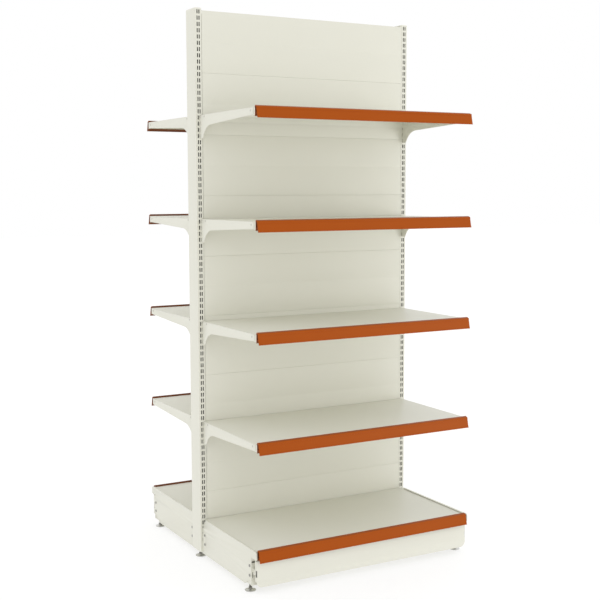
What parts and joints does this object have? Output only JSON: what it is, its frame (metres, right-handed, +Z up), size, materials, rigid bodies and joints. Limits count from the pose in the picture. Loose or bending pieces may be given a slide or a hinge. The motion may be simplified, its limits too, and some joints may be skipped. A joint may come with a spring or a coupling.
{
  "type": "gondola shelving",
  "caption": "Double-sided gondola shelving with slotted uprights, panelled back, base decks, adjustable shelves and orange ticket strips.",
  "frame": {"origin": "on the floor, under the middle of the bay", "axes": "+Z up, -Y towards the front side in the picture, +X along the shelves to the right"},
  "size_m": [1.0475, 1.114, 2.3],
  "materials": {
    "ivory_steel": "satin powder coat",
    "ivory_plastic": "matt",
    "orange_plastic": "semi gloss",
    "zinc_steel": "zinc plated"
  },
  "bodies": {
    "frame": {"left_upright": "ivory_steel", "right_upright": "ivory_steel", "left_upright_cap": "ivory_plastic", "right_upright_cap": "ivory_plastic", "tie_beams": "ivory_steel", "leg_bolts": "zinc_steel", "front_panels": "ivory_steel", "rear_panels": "ivory_steel", "front_left_base_leg": "ivory_steel", "front_right_base_leg": "ivory_steel", "rear_left_base_leg": "ivory_steel", "rear_right_base_leg": "ivory_steel", "front_left_foot_bracket": "ivory_steel", "front_right_foot_bracket": "ivory_steel", "rear_left_foot_bracket": "ivory_steel", "rear_right_foot_bracket": "ivory_steel"},
    "front_deck": {"front_base_deck": "ivory_steel"},
    "front_base_strip": {"front_base_ticket_strip": "orange_plastic"},
    "front_kick": {"front_kick_plate": "ivory_steel"},
    "front_shelf_1_brackets": {"front_shelf_1_left_bracket": "ivory_steel", "front_shelf_1_right_bracket": "ivory_steel"},
    "front_shelf_1": {"front_shelf_1_tray": "ivory_steel"},
    "front_shelf_1_strip": {"front_shelf_1_ticket_strip": "orange_plastic"},
    "front_shelf_2_brackets": {"front_shelf_2_left_bracket": "ivory_steel", "front_shelf_2_right_bracket": "ivory_steel"},
    "front_shelf_2": {"front_shelf_2_tray": "ivory_steel"},
    "front_shelf_2_strip": {"front_shelf_2_ticket_strip": "orange_plastic"},
    "front_shelf_3_brackets": {"front_shelf_3_left_bracket": "ivory_steel", "front_shelf_3_right_bracket": "ivory_steel"},
    "front_shelf_3": {"front_shelf_3_tray": "ivory_steel"},
    "front_shelf_3_strip": {"front_shelf_3_ticket_strip": "orange_plastic"},
    "front_shelf_4_brackets": {"front_shelf_4_left_bracket": "ivory_steel", "front_shelf_4_right_bracket": "ivory_steel"},
    "front_shelf_4": {"front_shelf_4_tray": "ivory_steel"},
    "front_shelf_4_strip": {"front_shelf_4_ticket_strip": "orange_plastic"},
    "rear_deck": {"rear_base_deck": "ivory_steel"},
    "rear_base_strip": {"rear_base_ticket_strip": "orange_plastic"},
    "rear_kick": {"rear_kick_plate": "ivory_steel"},
    "rear_shelf_1_brackets": {"rear_shelf_1_left_bracket": "ivory_steel", "rear_shelf_1_right_bracket": "ivory_steel"},
    "rear_shelf_1": {"rear_shelf_1_tray": "ivory_steel"},
    "rear_shelf_1_strip": {"rear_shelf_1_ticket_strip": "orange_plastic"},
    "rear_shelf_2_brackets": {"rear_shelf_2_left_bracket": "ivory_steel", "rear_shelf_2_right_bracket": "ivory_steel"},
    "rear_shelf_2": {"rear_shelf_2_tray": "ivory_steel"},
    "rear_shelf_2_strip": {"rear_shelf_2_ticket_strip": "orange_plastic"},
    "rear_shelf_3_brackets": {"rear_shelf_3_left_bracket": "ivory_steel", "rear_shelf_3_right_bracket": "ivory_steel"},
    "rear_shelf_3": {"rear_shelf_3_tray": "ivory_steel"},
    "rear_shelf_3_strip": {"rear_shelf_3_ticket_strip": "orange_plastic"},
    "rear_shelf_4_brackets": {"rear_shelf_4_left_bracket": "ivory_steel", "rear_shelf_4_right_bracket": "ivory_steel"},
    "rear_shelf_4": {"rear_shelf_4_tray": "ivory_steel"},
    "rear_shelf_4_strip": {"rear_shelf_4_ticket_strip": "orange_plastic"},
    "front_left_foot_screw": {"front_left_foot": "zinc_steel"},
    "front_right_foot_screw": {"front_right_foot": "zinc_steel"},
    "middle_left_foot_screw": {"middle_left_foot": "zinc_steel"},
    "middle_right_foot_screw": {"middle_right_foot": "zinc_steel"},
    "rear_left_foot_screw": {"rear_left_foot": "zinc_steel"},
    "rear_right_foot_screw": {"rear_right_foot": "zinc_steel"}
  },
  "joints": [
    {"name": "front_deck_lift", "type": "slide", "parent": "frame", "child": "front_deck", "axis": [0, 0, 1], "range_m": [0, 0.06]},
    {"name": "front_base_strip_slide", "type": "slide", "parent": "front_deck", "child": "front_base_strip", "axis": [1, 0, 0], "range_m": [-0.002, 0.002]},
    {"name": "front_kick_lift", "type": "slide", "parent": "frame", "child": "front_kick", "axis": [0, 0, 1], "range_m": [0, 0.003]},
    {"name": "front_shelf_1_bracket_lift", "type": "slide", "parent": "frame", "child": "front_shelf_1_brackets", "axis": [0, 0, 1], "range_m": [0, 0.007]},
    {"name": "front_shelf_1_tray_lift", "type": "slide", "parent": "front_shelf_1_brackets", "child": "front_shelf_1", "axis": [0, 0, 1], "range_m": [0, 0.06]},
    {"name": "front_shelf_1_strip_slide", "type": "slide", "parent": "front_shelf_1", "child": "front_shelf_1_strip", "axis": [1, 0, 0], "range_m": [0, 0.25]},
    {"name": "front_shelf_2_bracket_lift", "type": "slide", "parent": "frame", "child": "front_shelf_2_brackets", "axis": [0, 0, 1], "range_m": [0, 0.007]},
    {"name": "front_shelf_2_tray_lift", "type": "slide", "parent": "front_shelf_2_brackets", "child": "front_shelf_2", "axis": [0, 0, 1], "range_m": [0, 0.06]},
    {"name": "front_shelf_2_strip_slide", "type": "slide", "parent": "front_shelf_2", "child": "front_shelf_2_strip", "axis": [1, 0, 0], "range_m": [0, 0.25]},
    {"name": "front_shelf_3_bracket_lift", "type": "slide", "parent": "frame", "child": "front_shelf_3_brackets", "axis": [0, 0, 1], "range_m": [0, 0.007]},
    {"name": "front_shelf_3_tray_lift", "type": "slide", "parent": "front_shelf_3_brackets", "child": "front_shelf_3", "axis": [0, 0, 1], "range_m": [0, 0.06]},
    {"name": "front_shelf_3_strip_slide", "type": "slide", "parent": "front_shelf_3", "child": "front_shelf_3_strip", "axis": [1, 0, 0], "range_m": [0, 0.25]},
    {"name": "front_shelf_4_bracket_lift", "type": "slide", "parent": "frame", "child": "front_shelf_4_brackets", "axis": [0, 0, 1], "range_m": [0, 0.007]},
    {"name": "front_shelf_4_tray_lift", "type": "slide", "parent": "front_shelf_4_brackets", "child": "front_shelf_4", "axis": [0, 0, 1], "range_m": [0, 0.06]},
    {"name": "front_shelf_4_strip_slide", "type": "slide", "parent": "front_shelf_4", "child": "front_shelf_4_strip", "axis": [1, 0, 0], "range_m": [0, 0.25]},
    {"name": "rear_deck_lift", "type": "slide", "parent": "frame", "child": "rear_deck", "axis": [0, 0, 1], "range_m": [0, 0.06]},
    {"name": "rear_base_strip_slide", "type": "slide", "parent": "rear_deck", "child": "rear_base_strip", "axis": [1, 0, 0], "range_m": [-0.002, 0.002]},
    {"name": "rear_kick_lift", "type": "slide", "parent": "frame", "child": "rear_kick", "axis": [0, 0, 1], "range_m": [0, 0.003]},
    {"name": "rear_shelf_1_bracket_lift", "type": "slide", "parent": "frame", "child": "rear_shelf_1_brackets", "axis": [0, 0, 1], "range_m": [0, 0.007]},
    {"name": "rear_shelf_1_tray_lift", "type": "slide", "parent": "rear_shelf_1_brackets", "child": "rear_shelf_1", "axis": [0, 0, 1], "range_m": [0, 0.06]},
    {"name": "rear_shelf_1_strip_slide", "type": "slide", "parent": "rear_shelf_1", "child": "rear_shelf_1_strip", "axis": [1, 0, 0], "range_m": [0, 0.25]},
    {"name": "rear_shelf_2_bracket_lift", "type": "slide", "parent": "frame", "child": "rear_shelf_2_brackets", "axis": [0, 0, 1], "range_m": [0, 0.007]},
    {"name": "rear_shelf_2_tray_lift", "type": "slide", "parent": "rear_shelf_2_brackets", "child": "rear_shelf_2", "axis": [0, 0, 1], "range_m": [0, 0.06]},
    {"name": "rear_shelf_2_strip_slide", "type": "slide", "parent": "rear_shelf_2", "child": "rear_shelf_2_strip", "axis": [1, 0, 0], "range_m": [0, 0.25]},
    {"name": "rear_shelf_3_bracket_lift", "type": "slide", "parent": "frame", "child": "rear_shelf_3_brackets", "axis": [0, 0, 1], "range_m": [0, 0.007]},
    {"name": "rear_shelf_3_tray_lift", "type": "slide", "parent": "rear_shelf_3_brackets", "child": "rear_shelf_3", "axis": [0, 0, 1], "range_m": [0, 0.06]},
    {"name": "rear_shelf_3_strip_slide", "type": "slide", "parent": "rear_shelf_3", "child": "rear_shelf_3_strip", "axis": [1, 0, 0], "range_m": [0, 0.25]},
    {"name": "rear_shelf_4_bracket_lift", "type": "slide", "parent": "frame", "child": "rear_shelf_4_brackets", "axis": [0, 0, 1], "range_m": [0, 0.007]},
    {"name": "rear_shelf_4_tray_lift", "type": "slide", "parent": "rear_shelf_4_brackets", "child": "rear_shelf_4", "axis": [0, 0, 1], "range_m": [0, 0.06]},
    {"name": "rear_shelf_4_strip_slide", "type": "slide", "parent": "rear_shelf_4", "child": "rear_shelf_4_strip", "axis": [1, 0, 0], "range_m": [0, 0.25]},
    {"name": "front_left_foot_height", "type": "slide", "parent": "frame", "child": "front_left_foot_screw", "axis": [0, 0, 1], "range_m": [-0.02, 0]},
    {"name": "front_right_foot_height", "type": "slide", "parent": "frame", "child": "front_right_foot_screw", "axis": [0, 0, 1], "range_m": [-0.02, 0]},
    {"name": "middle_left_foot_height", "type": "slide", "parent": "frame", "child": "middle_left_foot_screw", "axis": [0, 0, 1], "range_m": [-0.02, 0]},
    {"name": "middle_right_foot_height", "type": "slide", "parent": "frame", "child": "middle_right_foot_screw", "axis": [0, 0, 1], "range_m": [-0.02, 0]},
    {"name": "rear_left_foot_height", "type": "slide", "parent": "frame", "child": "rear_left_foot_screw", "axis": [0, 0, 1], "range_m": [-0.02, 0]},
    {"name": "rear_right_foot_height", "type": "slide", "parent": "frame", "child": "rear_right_foot_screw", "axis": [0, 0, 1], "range_m": [-0.02, 0]}
  ]
}
